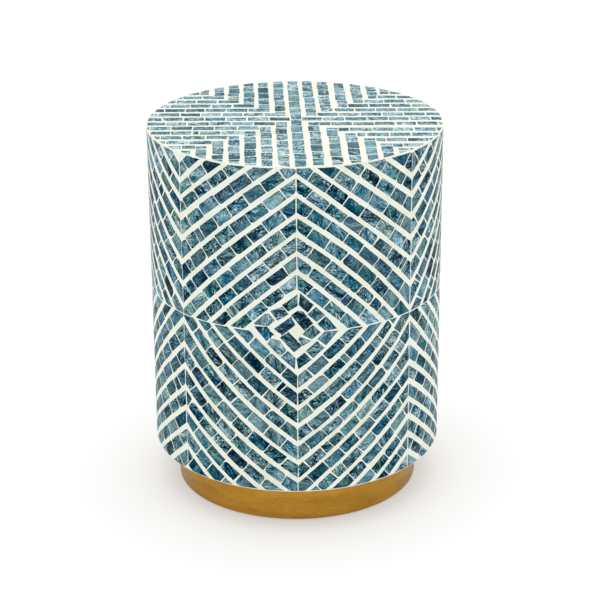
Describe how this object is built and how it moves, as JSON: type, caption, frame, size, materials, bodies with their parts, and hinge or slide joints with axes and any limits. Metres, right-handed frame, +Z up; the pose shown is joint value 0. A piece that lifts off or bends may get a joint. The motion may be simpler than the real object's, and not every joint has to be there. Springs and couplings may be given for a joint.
{
  "type": "accent stool",
  "caption": "Round drum accent stool: shell-chip mosaic in nested diamonds set in cream resin over a wooden drum, on a recessed brass-banded plinth.",
  "frame": {"origin": "centre of the footprint, on the floor under the glides", "axes": "+Z up out of the seat; -Y faces the viewer and meets the middle of the front diamond panel; +X to the viewer's right"},
  "size_m": [0.356, 0.356, 0.46],
  "materials": {
    "shell": "blue-green tab shell (nacre) chips, sanded flush and lacquered",
    "resin": "cream polyester resin grout, sanded flush and lacquered",
    "mdf": "raw medium-density fibreboard",
    "plywood": "bending plywood, sanded",
    "pine": "planed softwood",
    "beech": "turned hardwood dowel",
    "brass": "aged brass sheet, satin brushed and lacquered",
    "steel": "zinc-plated steel",
    "nylon": "natural nylon"
  },
  "bodies": {
    "root": {"shell_tiles_top": "shell", "shell_tiles_front": "shell", "shell_tiles_right": "shell", "shell_tiles_back": "shell", "shell_tiles_left": "shell", "resin_top": "resin", "resin_wall_front": "resin", "resin_wall_right": "resin", "resin_wall_back": "resin", "resin_wall_left": "resin", "seat_board": "mdf", "bottom_board": "mdf", "upper_frame_ring": "mdf", "middle_frame_ring": "mdf", "lower_frame_ring": "mdf", "plinth_disc_upper": "mdf", "plinth_disc_lower": "mdf", "wall_skin_front": "plywood", "wall_skin_back": "plywood", "batten_1": "pine", "batten_2": "pine", "batten_3": "pine", "batten_4": "pine", "batten_5": "pine", "batten_6": "pine", "batten_7": "pine", "batten_8": "pine", "plinth_dowels": "beech", "plinth_band": "brass", "band_pins": "brass", "seat_board_screws": "steel", "bottom_board_screws": "steel", "plinth_screws": "steel", "glide_nails": "steel", "floor_glides": "nylon"}
  },
  "joints": []
}
